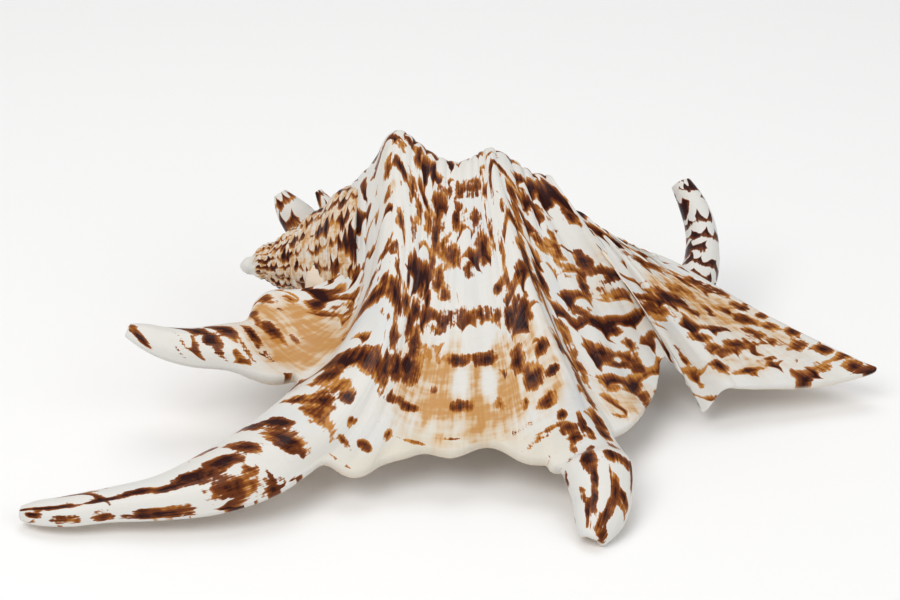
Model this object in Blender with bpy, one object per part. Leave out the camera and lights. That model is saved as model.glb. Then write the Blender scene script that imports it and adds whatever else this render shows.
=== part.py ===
"""A spider conch shell that lies on its opening: a humped body whorl, a short spire and a fingered lip.

The control points below are millimetres in the frame where the shell was laid out, with the tip of the
spire towards -X, the free edge of the lip towards -Y and the table at Z = 0. The finished body is moved so
that the middle of its footprint is the origin, and scaled to metres.
"""

import math

import bpy
import numpy as np

MM = 0.001

LIP_THICKNESS = 3.8
BACK_THICKNESS = 6.5
LIP_ROOT_THICKNESS = 9.0
FINGER_THICKNESS = 4.4

# The two knobs of the crest run on as ridges along these ribs.
KNOB_RIBS = (4.3, 14.5)
KNOB_RIDGE_HEIGHT = 1.3
RIDGE_WIDTH = 0.9

# Lumps along the ridge below the left knob: rib, growth, their half widths in each, and height.
LUMPS = [
    (4.7, 0.31, 1.2, 0.1, 1.6),
    (5.4, 0.68, 1.7, 0.12, 1.8),
]

SPIRE_APEX = (-49.5, 23.5, 26.3)
SPIRE_FOOT = (-18.0, 19.5, 31.5)
SPIRE_WHORL_PITCH = 6.8
SPIRE_WHORL_BULGE = 1.0
SPIRE_LUMPS_PER_TURN = 9
SPIRE_LUMP_HEIGHT = 0.35

# Distance from the tip of the spire, and its radius there.
SPIRE_REACH = [
    (0, 0.5),
    (0.4, 1.1),
    (1, 1.7),
    (3, 2.3),
    (5, 3.6),
    (9.5, 5.6),
    (13, 7.4),
    (15.5, 9.0),
    (20, 11.6),
    (23, 13.4),
    (26, 15.8),
    (29, 17),
    (32, 17),
]

# Fineness of the sheet before it is made one skin.
POINTS_PER_RIB = 5
BACK_ROWS = 30
FRONT_ROWS = 60
FINGER_ROWS = 44

# How often the root of the rear finger is evened out into the flank of the whorl, how often the direction
# of the wall is, and how often the whole skin is.
ROOT_ROUNDS = 14
WALL_ROUNDS = 8
SKIN_ROUNDS = 8

VOXEL = 0.8
MOST_TRIANGLES = 9400

# The back of the lip is a fan of growth columns. Each row is the rib number, the point on the crest, the
# handles of its curve at the crest and at the lip, and the point on the edge of the lip.
COLUMNS = [
    (0.0, (-23.5, 26, 46.5), (2, -23, 0), (20, -8, 1), (-40.4, 9.2, 29.2)),
    (1.2, (-21, 25, 50), (-1.5, -22, 0), (30, -2, 2), (-40.8, 0, 25.6)),
    (2.6, (-17.5, 24, 54.5), (-1, -20, 0), (20, 4, 12), (-33.5, -9.5, 15.5)),
    (3.6, (-14.3, 23, 61), (-2, -15, -1), (27, 8, 13), (-35, -21, 18.5)),
    (4.5, (-11.3, 22, 62.5), (-3.5, -12, -2), (28, 14, 13), (-31, -31, 17.5)),
    (6.2, (-7, 21, 60.5), (-3, -19, 0), (24, 14, 15), (-27, -36, 11)),
    (7.5, (-4, 19.5, 58.7), (0, -19, 0), (12.5, 13, 15), (-18.5, -36.5, 9.0)),
    (8.5, (-1.5, 18.5, 57.7), (0, -19, 0), (8.4, 13, 15), (-11, -33.5, 11.2)),
    (10.0, (2, 18, 57.1), (0, -19, 0), (2, 13, 15), (0, -34, 12)),
    (11.5, (5.5, 18.5, 58.4), (0, -19, 0), (-1, 13, 15), (11, -32.5, 12.7)),
    (13.0, (7.5, 19.5, 59.2), (-0.2, -19, 0), (-6, 14, 14), (20.5, -36, 10.5)),
    (14.5, (9.5, 20, 59), (-0.3, -17, -1), (-11.4, 13, 15), (31.5, -31, 15)),
    (16.0, (14, 20, 57), (1.3, -17, 0), (-14.7, 13, 16), (36.5, -24.5, 10)),
    (17.5, (17.5, 20, 54.2), (2.3, -15, 0), (-13, 12, 16), (42.5, -19, 11.3)),
    (18.3, (20, 19.5, 53), (2.4, -14, 0), (-10.6, 8, 16), (46.5, -9, 10.3)),
    (19.2, (22.3, 19, 53.4), (2, -13, 0), (-7, 8, 16), (49, 0, 15)),
    (20.2, (24, 17.5, 51.2), (3, -11, 0), (-7, 8, 15), (52, -2, 13)),
    (21.0, (25.5, 16, 48.4), (3, -9, 0), (-7, 6, 14), (55.5, -3.5, 9)),
    (21.5, (27, 15, 47.6), (3, -8, 0), (-7, 6, 14), (58.2, -5, 2)),
    (22.2, (29, 14, 46.5), (4, -7, 0), (-8, 6, 12), (61.5, -6, 9)),
    (23.6, (32.5, 12, 44), (6, -5, -1), (-10, 5, 10), (70, -3.5, 9.3)),
    (24.8, (36, 10.5, 42.5), (7, -4, -2), (-12, 4, 8), (79, -2, 9)),
    (26.0, (40, 9, 41), (9, -2, -5), (-14, 3, 5.5), (89, 0.5, 8.8)),
    (27.5, (44, 8.5, 39), (12, 1, -7.5), (-18, 2, 7.2), (100, 4, 9.5)),
    (29.0, (47, 10, 37), (12, 5, -7), (-14, 2, 6), (89, 11, 8.5)),
    (30.5, (49, 13, 34.5), (8, 6, -7), (-9, 1, 6.5), (74, 19, 9)),
    (32.0, (50, 16, 32), (4, 6, -7), (-3, -2, 7), (61, 27, 13)),
]

# Rib number, the point furthest back, and the point where the whorl meets the underside.
BACK = [
    (0.0, (-24, 37, 24), (-21, 15, 6)),
    (4.5, (-12, 40, 27), (-11, 14, 3)),
    (10.0, (2, 41, 28), (2, 14, 2)),
    (19.2, (20, 38, 27), (20, 14, 2)),
    (27.5, (44, 28, 22), (44, 14, 6)),
    (32.0, (52, 27, 19), (52, 16, 9)),
]

# Each finger of the lip: its first and last rib, the way across it, how far its arch wraps round in
# degrees, and stations of the middle of the arch, its half width and its height.
FINGERS = {
    "rear": (
        0.0,
        2.6,
        (0.1, -1, -0.25),
        92,
        [
            ((-34, -1, 20), 11.5, 8.2),
            ((-42.5, -4.6, 20.2), 8.6, 6.6),
            ((-51, -5.2, 20.6), 6.6, 5.6),
            ((-58.6, -6, 21), 5.5, 4.9),
            ((-65, -6.4, 22.7), 4.5, 3.9),
            ((-70.5, -5.8, 24.8), 3.0, 3.0),
            ((-73.2, -5.4, 25.8), 1.6, 1.6),
        ],
    ),
    "long": (
        2.6,
        6.2,
        (-0.4, -1, 0),
        107,
        [
            ((-31, -24, 10), 13, 10.8),
            ((-40.8, -34, 8.2), 11.2, 9.1),
            ((-51, -40.2, 6.8), 9, 7.8),
            ((-62, -43.7, 5.6), 5.8, 5.8),
            ((-72.5, -44.7, 4.7), 4.4, 4.6),
            ((-83, -45.6, 3.8), 4.0, 3.6),
            ((-90.5, -44.6, 3), 2.6, 2.4),
            ((-92.5, -44.2, 2.8), 1.5, 1.5),
        ],
    ),
    "front": (
        13.0,
        16.0,
        (1, 0.25, 0),
        105,
        [
            ((29.7, -27, 13), 9.0, 7),
            ((31.5, -34.2, 10.5), 8.4, 6.6),
            ((32.4, -40, 8), 7.5, 6.0),
            ((32.4, -45, 5.6), 6.5, 5.3),
            ((31.1, -49.6, 3.4), 5.0, 4.0),
            ((29.7, -52.8, 1.3), 2.8, 2.6),
        ],
    ),
}

# Centre and the two half widths (Y, Z) of the solid whorl inside the lip.
CORE = [
    ((-30, 18, 27), 9.5, 10),
    ((-22, 15, 27), 12.5, 13.5),
    ((-12, 14, 27), 19.5, 22.3),
    ((0, 14, 26), 22.5, 24.6),
    ((12, 13.5, 24.5), 20.5, 22.8),
    ((22, 13, 23), 17.5, 20.3),
    ((33, 12.5, 20.5), 14, 16.5),
    ((44, 13, 18), 11, 12.5),
    ((53, 17, 17), 8.5, 9.5),
    ((60, 23, 17), 6, 6.5),
]

# The siphon finger at the far end, and the two tips that rise from the last whorl behind the spire.
CANAL = [
    ((46, 14, 16), 9, 9),
    ((53.5, 19, 16.5), 7, 7),
    ((57.4, 26, 17.5), 5.4, 5.4),
    ((60.4, 33, 19.5), 4.6, 4.6),
    ((61.7, 40, 21.8), 4.1, 4.1),
    ((61.6, 46.5, 24.8), 3.8, 3.8),
    ((60, 52, 28.2), 3.4, 3.4),
    ((57.5, 56.4, 31.6), 2.6, 2.4),
]
BEHIND = [
    ((-20, 25, 18), 8, 8),
    ((-25, 34, 18), 7.2, 7.2),
    ((-30.5, 39, 21.5), 6, 6),
    ((-35.2, 41.6, 27), 4.8, 4.8),
    ((-39.4, 43.8, 31.8), 3.4, 3.4),
    ((-41.4, 45.6, 34.4), 1.8, 1.8),
]
SECOND_TIP = [
    ((-22, 33, 27), 5.5, 5.5),
    ((-26.5, 36.5, 31.5), 3.4, 3.4),
    ((-30, 39.5, 35), 1.9, 1.9),
    ((-31.8, 41.5, 37.2), 0.9, 0.9),
]


def spline(keys, values, at):
    """A smooth curve through the values at the keys, read at each place in at."""
    keys = np.asarray(keys, float)
    values = np.asarray(values, float)
    if values.ndim == 1:
        values = values[:, None]
    at = np.clip(np.asarray(at, float), keys[0], keys[-1])
    step = np.diff(keys)[:, None]
    slope = np.diff(values, axis=0) / step
    tangent = np.empty_like(values)
    tangent[1:-1] = (slope[:-1] * step[1:] + slope[1:] * step[:-1]) / (step[1:] + step[:-1])
    tangent[0] = slope[0]
    tangent[-1] = slope[-1]
    i = np.clip(np.searchsorted(keys, at, side="right") - 1, 0, len(keys) - 2)
    h = step[i]
    x = ((at - keys[i]) / step[i, 0])[:, None]
    return (
        values[i] * (1 + 2 * x) * (1 - x) ** 2
        + values[i + 1] * x * x * (3 - 2 * x)
        + tangent[i] * h * x * (1 - x) ** 2
        + tangent[i + 1] * h * x * x * (x - 1)
    )


def bezier(a, b, c, d, t):
    s = 1 - t
    return s**3 * a + 3 * s * s * t * b + 3 * s * t * t * c + t**3 * d


def smooth(x, low, high):
    x = np.clip((np.asarray(x, float) - low) / (high - low), 0, 1)
    return x * x * (3 - 2 * x)


def palm_row(ribs, t):
    """The points of every rib at growth t: -1 is the underside, 0 the crest and 1 the edge of the lip."""
    keys = [column[0] for column in COLUMNS]
    crest, crest_way, lip_way, lip = (spline(keys, [c[k] for c in COLUMNS], ribs) for k in (1, 2, 3, 4))
    if t >= 0:
        return bezier(crest, crest + crest_way, lip + lip_way, lip, t)
    keys = [row[0] for row in BACK]
    back = spline(keys, [row[1] for row in BACK], ribs)
    under = spline(keys, [row[2] for row in BACK], ribs)
    if t > -0.5:
        behind = crest.copy()
        behind[:, 1] += 0.45 * (back[:, 1] - crest[:, 1])
        behind[:, 2] -= 0.28 * (back[:, 1] - crest[:, 1])
        above = back.copy()
        above[:, 2] += 0.5 * (crest[:, 2] - back[:, 2])
        return bezier(crest, behind, above, back, -2 * t)
    below = back.copy()
    below[:, 2] -= 0.55 * (back[:, 2] - under[:, 2])
    behind = under.copy()
    behind[:, 1] += 0.55 * (back[:, 1] - under[:, 1])
    return bezier(back, below, behind, under, -2 * t - 1)


def palm_thickness(ribs, t):
    """The wall is thickest where the lip leaves the whorl, which leaves the opening a slit."""
    edge = 0.3 * (98 - palm_row(ribs, t)[:, 0]) + 1.2
    edge = np.minimum(edge, spline([0, 17.5, 19.5, 22, 24, 32], [6, 6, 2.6, 2.4, 3.6, 3.6], ribs)[:, 0])
    if t < 0:
        return np.minimum(edge, BACK_THICKNESS)
    root = smooth(t, 0.2, 0.6) * (1 - smooth(t, 0.72, 1.0))
    wide = smooth(ribs, 1.5, 5) * (1 - smooth(ribs, 15.5, 19))
    wall = LIP_THICKNESS + (BACK_THICKNESS - LIP_THICKNESS) * (1 - t)
    return np.minimum(edge, wall) + (LIP_ROOT_THICKNESS - LIP_THICKNESS) * root * wide


def finger_rows(name, ribs, steps):
    """Rows of points from the lip to the tip of a finger, with its half width at each row."""
    first, last, across, wrap, stations = FINGERS[name]
    centre = np.array([station[0] for station in stations], float)
    length = np.concatenate([[0], np.cumsum(np.linalg.norm(np.diff(centre, axis=0), axis=1))])
    at = np.linspace(0, length[-1], steps + 1)
    centre = spline(length, centre, at)
    width = spline(length, [station[1] for station in stations], at)[:, 0]
    height = spline(length, [station[2] for station in stations], at)[:, 0]
    along = np.gradient(centre, axis=0)
    along /= np.linalg.norm(along, axis=1)[:, None]
    across = np.array(across, float)
    side = across - along * (along @ across)[:, None]
    side /= np.linalg.norm(side, axis=1)[:, None]
    up = np.cross(along, side)
    lip = palm_row(ribs, 1.0)
    angle = np.radians(wrap) * ((ribs - first) / (last - first) * 2 - 1)
    rows = []
    for i in range(1, steps + 1):
        mix = smooth(at[i] / length[-1], 0, 0.38)
        arch = centre[i] + side[i] * (width[i] * np.sin(angle))[:, None]
        arch = arch + up[i] * (height[i] * np.cos(angle))[:, None]
        rows.append((lip + centre[i] - centre[0]) * (1 - mix) + arch * mix)
    return rows, width[1:]


def quads(index):
    """Faces of a grid of vertex numbers, facing up where rows run to -Y and columns to +X."""
    a, b, c, d = index[:-1, :-1], index[1:, :-1], index[1:, 1:], index[:-1, 1:]
    return np.stack([a, b, c, d], axis=-1).reshape(-1, 4)


def normals(points, faces):
    across = points[faces[:, 2]] - points[faces[:, 0]]
    along = points[faces[:, 3]] - points[faces[:, 1]]
    facing = np.cross(across, along)
    total = np.zeros_like(points)
    for k in range(4):
        np.add.at(total, faces[:, k], facing)
    return total / np.maximum(np.linalg.norm(total, axis=1), 1e-9)[:, None]


def relaxed(values, ends):
    """Each value moved towards the mean of its neighbours."""
    total = values.copy()
    share = np.ones(len(values))
    for a, b in ((0, 1), (1, 0)):
        np.add.at(total, ends[:, a], values[ends[:, b]])
        np.add.at(share, ends[:, a], 1)
    return total / share[:, None]


def lip_body():
    """The back of the shell, the flared lip and its three long fingers, as one thick closed sheet."""
    first_rib, last_rib = COLUMNS[0][0], COLUMNS[-1][0]
    finger_ends = {rib for finger in FINGERS.values() for rib in finger[:2]}
    breaks = sorted(finger_ends | {first_rib, last_rib})
    ribs = [first_rib]
    for low, high in zip(breaks, breaks[1:]):
        ribs += list(np.linspace(low, high, round((high - low) * POINTS_PER_RIB) + 1)[1:])
    ribs = np.array(ribs)
    grow = np.concatenate([np.linspace(-1, 0, BACK_ROWS + 1)[:-1], np.linspace(0, 1, FRONT_ROWS + 1)])
    ridge = sum(np.exp(-(((ribs - rib) / RIDGE_WIDTH) ** 2)) for rib in KNOB_RIBS)
    points, wall, root = [], [], []
    for t in grow:
        row = palm_row(ribs, t)
        row[:, 2] += KNOB_RIDGE_HEIGHT * ridge * smooth(t, -0.15, 0.1) * (1 - smooth(t, 0.8, 1.0))
        for rib, growth_at, wide, long, height in LUMPS:
            row[:, 2] += height * np.exp(-(((ribs - rib) / wide) ** 2) - ((t - growth_at) / long) ** 2)
        points.append(row)
        wall.append(palm_thickness(ribs, t))
        root.append((1 - smooth(ribs, 1.8, 2.8)) * smooth(t, 0.5, 0.75))
    index = np.arange(len(grow) * len(ribs)).reshape(len(grow), len(ribs))
    faces = [quads(index)]
    count = index.size
    for name, (first, last, *_) in FINGERS.items():
        span = np.flatnonzero((ribs > first - 1e-6) & (ribs < last + 1e-6))
        rows, widths = finger_rows(name, ribs[span], FINGER_ROWS)
        grid = count + np.arange(len(rows) * len(span)).reshape(len(rows), len(span))
        count += grid.size
        points += rows
        for width in widths:
            wall.append(np.full(len(span), min(FINGER_THICKNESS, 0.55 * width + 0.3)))
        fade = (name == "rear") * (1 - smooth(np.arange(len(rows)) / len(rows), 0.1, 0.4))
        root.append(np.repeat(fade, len(span)))
        faces.append(quads(np.vstack([index[-1, span], grid])))
    points = np.concatenate(points)
    wall = np.concatenate(wall)
    faces = np.concatenate(faces)
    ends = np.concatenate([faces[:, [k, (k + 1) % 4]] for k in range(4)])
    key = ends.min(axis=1) * count + ends.max(axis=1)
    _, where, times = np.unique(key, return_inverse=True, return_counts=True)
    rim = ends[times[where.reshape(-1)] == 1]
    held = np.zeros(count, bool)
    held[rim] = True
    eased = points
    for _ in range(ROOT_ROUNDS):
        eased = np.where(held[:, None], points, relaxed(eased, ends))
    points = points + (eased - points) * np.concatenate(root)[:, None]
    inward = -normals(points, faces) * wall[:, None]
    for _ in range(WALL_ROUNDS):
        inward = relaxed(inward, ends)
    inner = points + inward
    rim_faces = np.stack([rim[:, 1], rim[:, 0], rim[:, 0] + count, rim[:, 1] + count], axis=1)
    return np.concatenate([points, inner]), np.concatenate([faces, faces[:, ::-1] + count, rim_faces])


def tube(stations, across, steps, around=28, floor=None):
    """A closed tube through stations of centre, half width and half height."""
    centre = np.array([station[0] for station in stations], float)
    length = np.concatenate([[0], np.cumsum(np.linalg.norm(np.diff(centre, axis=0), axis=1))])
    at = np.linspace(0, length[-1], steps)
    centre = spline(length, centre, at)
    width = spline(length, [station[1] for station in stations], at)
    height = spline(length, [station[2] for station in stations], at)
    along = np.gradient(centre, axis=0)
    along /= np.linalg.norm(along, axis=1)[:, None]
    across = np.array(across, float)
    side = across - along * (along @ across)[:, None]
    side /= np.linalg.norm(side, axis=1)[:, None]
    up = np.cross(side, along)
    angle = np.linspace(0, 2 * math.pi, around, endpoint=False)
    ring = np.cos(angle)[None, :, None] * (side * width)[:, None, :]
    ring = ring + np.sin(angle)[None, :, None] * (up * height)[:, None, :]
    return close_rings(centre[:, None, :] + ring, floor)


def close_rings(rings, floor=None):
    """Joins rings of points into a closed skin with a point at the middle of each end."""
    rows, around, _ = rings.shape
    points = np.concatenate([rings.reshape(-1, 3), [rings[0].mean(axis=0), rings[-1].mean(axis=0)]])
    if floor is not None:
        points[:, 2] = np.maximum(points[:, 2], floor)
    index = np.arange(rows * around).reshape(rows, around)
    index = np.hstack([index, index[:, :1]])
    faces = [tuple(face) for face in quads(index)]
    first, last = rows * around, rows * around + 1
    faces += [(first, index[0, k], index[0, k + 1]) for k in range(around)]
    faces += [(last, index[-1, k + 1], index[-1, k]) for k in range(around)]
    return points, faces


def spire_body():
    """The whorls before the last, wound round the axis with a groove where they meet."""
    apex = np.array(SPIRE_APEX)
    along = np.array(SPIRE_FOOT) - apex
    length = np.linalg.norm(along)
    along /= length
    side = np.cross(along, (0, 0, 1.0))
    side /= np.linalg.norm(side)
    up = np.cross(side, along)
    at = np.concatenate([[0.0, 0.4, 0.9], np.linspace(1.6, length, 60)])
    reach = spline([row[0] for row in SPIRE_REACH], [row[1] for row in SPIRE_REACH], at)
    angle = np.linspace(0, 2 * math.pi, 72, endpoint=False)
    turn = at[:, None] / SPIRE_WHORL_PITCH - angle[None, :] / (2 * math.pi)
    whorl = np.abs(np.sin(math.pi * turn)) ** 0.6
    lump = SPIRE_LUMP_HEIGHT * np.sin(SPIRE_LUMPS_PER_TURN * angle)[None, :] * whorl**3
    reach = reach + (SPIRE_WHORL_BULGE * (whorl - 0.55) + lump) * smooth(at, 2, 6)[:, None]
    rings = apex + at[:, None, None] * along
    rings = rings + (np.cos(angle) * reach)[:, :, None] * side + (np.sin(angle) * reach)[:, :, None] * up
    return close_rings(rings)


def remeshed(parts):
    """All the closed parts made one skin, without inner pockets."""
    points, faces, count = [], [], 0
    for part_points, part_faces in parts:
        points.append(part_points)
        faces += [tuple(int(v) + count for v in face) for face in part_faces]
        count += len(part_points)
    mesh = bpy.data.meshes.new("parts")
    mesh.from_pydata(np.concatenate(points).tolist(), [], faces)
    draft = bpy.data.objects.new("draft", mesh)
    bpy.context.scene.collection.objects.link(draft)
    remesh = draft.modifiers.new("one skin", "REMESH")
    remesh.mode = "VOXEL"
    remesh.voxel_size = VOXEL
    relax = draft.modifiers.new("relax", "SMOOTH")
    relax.factor = 0.5
    relax.iterations = SKIN_ROUNDS
    bpy.context.view_layer.update()
    skin = bpy.data.meshes.new_from_object(draft.evaluated_get(bpy.context.evaluated_depsgraph_get()))
    bpy.data.objects.remove(draft)
    return skin


def largest_shell(mesh):
    """Drops every loose piece of the mesh but the largest."""
    count = len(mesh.vertices)
    ends = np.empty(len(mesh.edges) * 2, np.int64)
    mesh.edges.foreach_get("vertices", ends)
    ends = ends.reshape(-1, 2)
    label = np.arange(count)
    while True:
        low = np.minimum(label[ends[:, 0]], label[ends[:, 1]])
        before = label.copy()
        np.minimum.at(label, ends[:, 0], low)
        np.minimum.at(label, ends[:, 1], low)
        label = label[label]
        if (label == before).all():
            break
    names, sizes = np.unique(label, return_counts=True)
    keep = label == names[sizes.argmax()]
    points = np.empty(count * 3)
    mesh.vertices.foreach_get("co", points)
    points = points.reshape(-1, 3)[keep]
    number = np.cumsum(keep) - 1
    faces = [tuple(int(number[v]) for v in face.vertices) for face in mesh.polygons if keep[face.vertices[0]]]
    return points, faces


def thinned(points, faces):
    """The same skin with few enough triangles."""
    mesh = bpy.data.meshes.new("skin")
    mesh.from_pydata(points.tolist(), [], faces)
    draft = bpy.data.objects.new("draft", mesh)
    bpy.context.scene.collection.objects.link(draft)
    fewer = draft.modifiers.new("fewer", "DECIMATE")
    fewer.ratio = MOST_TRIANGLES / (2 * len(faces))
    fewer.use_collapse_triangulate = True
    bpy.context.view_layer.update()
    thin = bpy.data.meshes.new_from_object(draft.evaluated_get(bpy.context.evaluated_depsgraph_get()))
    bpy.data.objects.remove(draft)
    return thin


def main():
    for old in list(bpy.data.objects):
        bpy.data.objects.remove(old)
    parts = [
        lip_body(),
        tube(CORE, (0, 1, 0), 60, 48, floor=0.4),
        spire_body(),
        tube(CANAL, (1, 0, 0), 50),
        tube(BEHIND, (1, 0, 0), 50),
        tube(SECOND_TIP, (1, 0, 0), 40),
    ]
    points, faces = largest_shell(remeshed(parts))
    mesh = thinned(points, faces)
    co = np.empty(len(mesh.vertices) * 3)
    mesh.vertices.foreach_get("co", co)
    co = co.reshape(-1, 3)
    low, high = co.min(axis=0), co.max(axis=0)
    co = (co - [(low[0] + high[0]) / 2, (low[1] + high[1]) / 2, low[2]]) * MM
    mesh.vertices.foreach_set("co", co.ravel())
    mesh.update()
    mesh.name = "shell"
    shell = bpy.data.objects.new("shell", mesh)
    bpy.context.scene.collection.objects.link(shell)
    material = bpy.data.materials.new("glossy shell")
    material.use_nodes = True
    shader = material.node_tree.nodes["Principled BSDF"]
    shader.inputs["Base Color"].default_value = (0.82, 0.74, 0.62, 1)
    shader.inputs["Roughness"].default_value = 0.28
    mesh.materials.clear()
    mesh.materials.append(material)


main()
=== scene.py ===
"""The dressed look of a spider conch shell: its ribbed skin, its rows of brown marks and its gloss.

The shell is laid out in millimetres, and the finished pieces are moved together into the box of the part. Its
ribs are numbered from the spire to the far end.
"""

import math

import bpy
import numpy as np
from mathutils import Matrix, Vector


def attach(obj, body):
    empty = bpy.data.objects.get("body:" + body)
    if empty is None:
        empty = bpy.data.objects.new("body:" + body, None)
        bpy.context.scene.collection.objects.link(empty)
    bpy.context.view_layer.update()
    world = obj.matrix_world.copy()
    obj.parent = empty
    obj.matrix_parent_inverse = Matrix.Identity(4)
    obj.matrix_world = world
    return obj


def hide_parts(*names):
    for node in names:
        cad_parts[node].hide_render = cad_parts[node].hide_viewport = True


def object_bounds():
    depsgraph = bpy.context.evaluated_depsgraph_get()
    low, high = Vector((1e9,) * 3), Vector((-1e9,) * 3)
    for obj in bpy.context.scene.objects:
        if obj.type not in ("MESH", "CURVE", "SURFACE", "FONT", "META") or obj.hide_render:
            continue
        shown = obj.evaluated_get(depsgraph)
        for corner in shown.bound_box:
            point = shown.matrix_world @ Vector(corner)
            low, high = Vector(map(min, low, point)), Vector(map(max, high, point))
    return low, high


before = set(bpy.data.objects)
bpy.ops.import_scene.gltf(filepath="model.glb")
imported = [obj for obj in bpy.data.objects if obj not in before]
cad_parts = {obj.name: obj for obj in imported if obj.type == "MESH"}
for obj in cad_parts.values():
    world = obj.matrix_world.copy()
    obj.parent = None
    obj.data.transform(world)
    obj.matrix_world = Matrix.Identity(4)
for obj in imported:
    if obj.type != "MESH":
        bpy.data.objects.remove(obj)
CAD_LOW, CAD_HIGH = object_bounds()

# Metres by which the pieces stay inside the box of the part.
BOX_MARGIN = 0.00002

# Thickness of the wall at its main places, in millimetres.
LIP_THICKNESS = 3.8
BACK_THICKNESS = 6.5
LIP_ROOT_THICKNESS = 9.0
FINGER_THICKNESS = 4.4

# The most that the wall may measure, by rib number.
WALL_LIMIT = [(0, 6), (17.5, 5), (19.5, 0.7), (22, 0.7), (24, 3.0), (32, 3.6)]

# The wall thins evenly towards the tip of the broad finger.
BROAD_TIP_X = 98
BROAD_TIP_THICKNESS = 1.2
BROAD_TIP_TAPER = 0.3

# The two knobs of the crest run on as ridges along these ribs.
KNOB_RIBS = (4.3, 14.5)
KNOB_RIDGE_HEIGHT = 1.3
RIDGE_WIDTH = 0.9

# Lumps along the ridge below the left knob: rib, growth, their half widths in each, and height.
LUMPS = [
    (4.7, 0.31, 1.2, 0.1, 1.6),
    (5.4, 0.68, 1.7, 0.12, 1.8),
]

SPIRE_APEX = (-49.5, 23.5, 26.3)
SPIRE_FOOT = (-18.0, 19.5, 31.5)
SPIRE_WHORL_PITCH = 6.8
SPIRE_WHORL_BULGE = 1.0
SPIRE_LUMPS_PER_TURN = 9
SPIRE_LUMP_HEIGHT = 0.35
SPIRE_CORDS_PER_WHORL = 5
SPIRE_CORD_HEIGHT = 0.12
SPIRE_RINGS = 150
SPIRE_POINTS_AROUND = 240

# The distance from the tip of the spire, and its radius there.
SPIRE_REACH = [
    (0, 0.5), (0.4, 1.1), (1, 1.7), (3, 2.3), (5, 3.6), (9.5, 5.6), (13, 7.4),
    (15.5, 9.0), (20, 11.6), (23, 13.4), (26, 15.8), (29, 17), (32, 17),
]

# The grid that the marks of the spire follow.
SPIRE_RIBS_PER_WHORL = 4.0
SPIRE_ROWS_PER_TURN = 18

# Metres from the tip of the spire at which its pale end starts to turn and has turned.
SPIRE_PALE_TIP = (0.0035, 0.0065)

# The floor and the camera, in metres, millimetres of lens and degrees that the camera looks down.
FLOOR_HALF_WIDTH = 3.0
CAMERA_PLACE = (-0.00354, -0.41752, 0.27010)
CAMERA_DOWN = 30.0
CAMERA_LENS = 85.0

# How finely the skin is drawn, and how often its roots, points, wall and rim are evened out.
PER_RIB = 8
BACK_ROWS = 46
FRONT_ROWS = 112
FINGER_STEPS = {"rear": 66, "long": 100, "front": 48}
RIM_STEPS = 5
RELAX_ROUNDS = 24
SOFTEN_ROUNDS = 6
ROOT_ROUNDS = 60
RIM_ROUNDS = 6

# How far the rounded rim of the wall stands out, as a share of its thickness.
RIM_BULGE = 0.33

# The rows of marks: millimetres from one row to the next on the body and along a finger.
ROW_PITCH = 6.8
FINGER_PITCH = 8.0
FIRST_ROW = 0.8

# The rows climb as they come down from the two knobs: the rib and width in ribs of each climb, and its rows.
ROW_CLIMBS = [(4.4, 1.3), (14.5, 1.2)]
ROW_CLIMB_HEIGHT = 1.1

# Millimetres over which the root of a finger turns from lip to finger.
FINGER_ROOT = 8

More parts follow.
